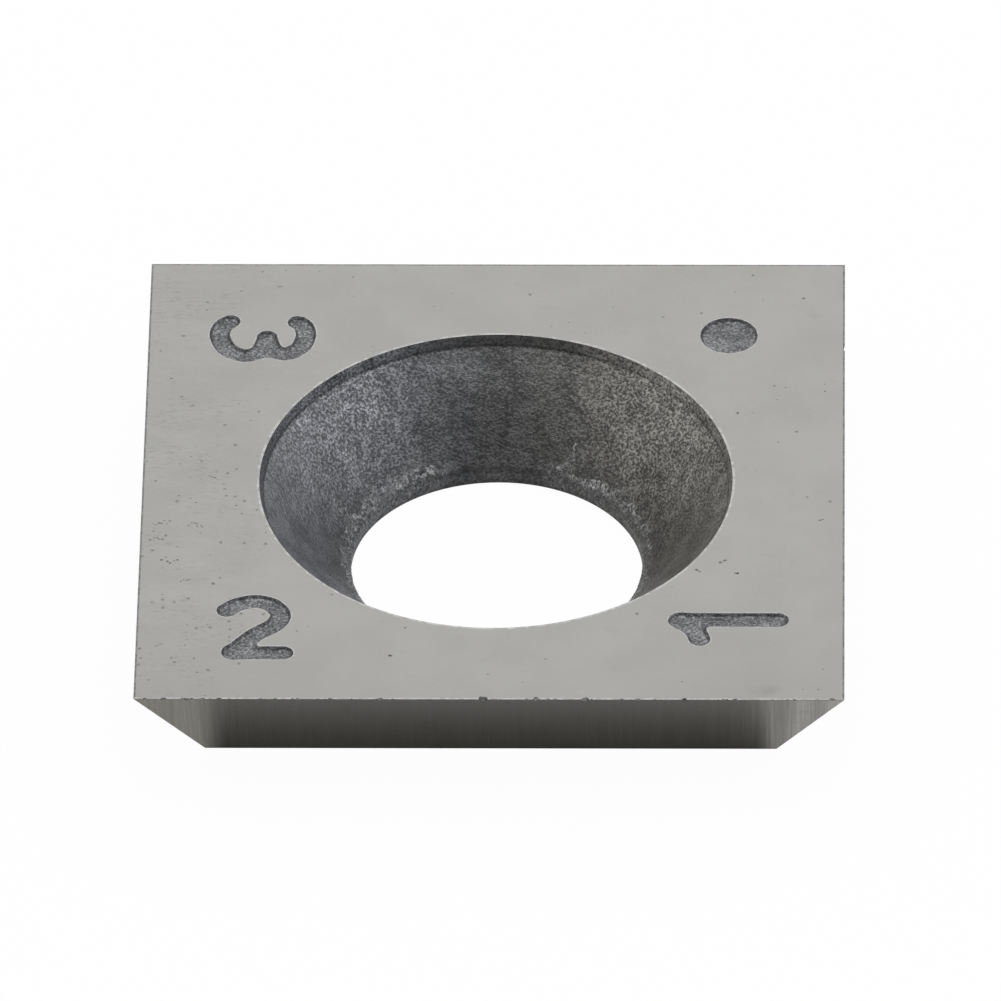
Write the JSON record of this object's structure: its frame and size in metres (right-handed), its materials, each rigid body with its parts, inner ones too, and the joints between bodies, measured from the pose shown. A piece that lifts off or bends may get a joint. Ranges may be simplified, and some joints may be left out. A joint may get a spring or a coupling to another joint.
{
  "type": "carbide insert",
  "caption": "Square indexable cutting insert with relieved flanks, sharp cutting edges on the top face and a countersunk screw hole through its centre.",
  "frame": {"origin": "centre of the bottom seat face, on the axis of the screw hole", "axes": "+Z along the screw hole from the seat face to the cutting face, +X and +Y square to the cutting edges, with the index dot in the +X +Y corner"},
  "size_m": [0.015, 0.015, 0.0025],
  "materials": {
    "carbide": "cemented tungsten carbide: ground satin cutting face and flanks, rough as-sintered countersink and marks"
  },
  "bodies": {
    "root": {"insert": "carbide"}
  },
  "joints": []
}
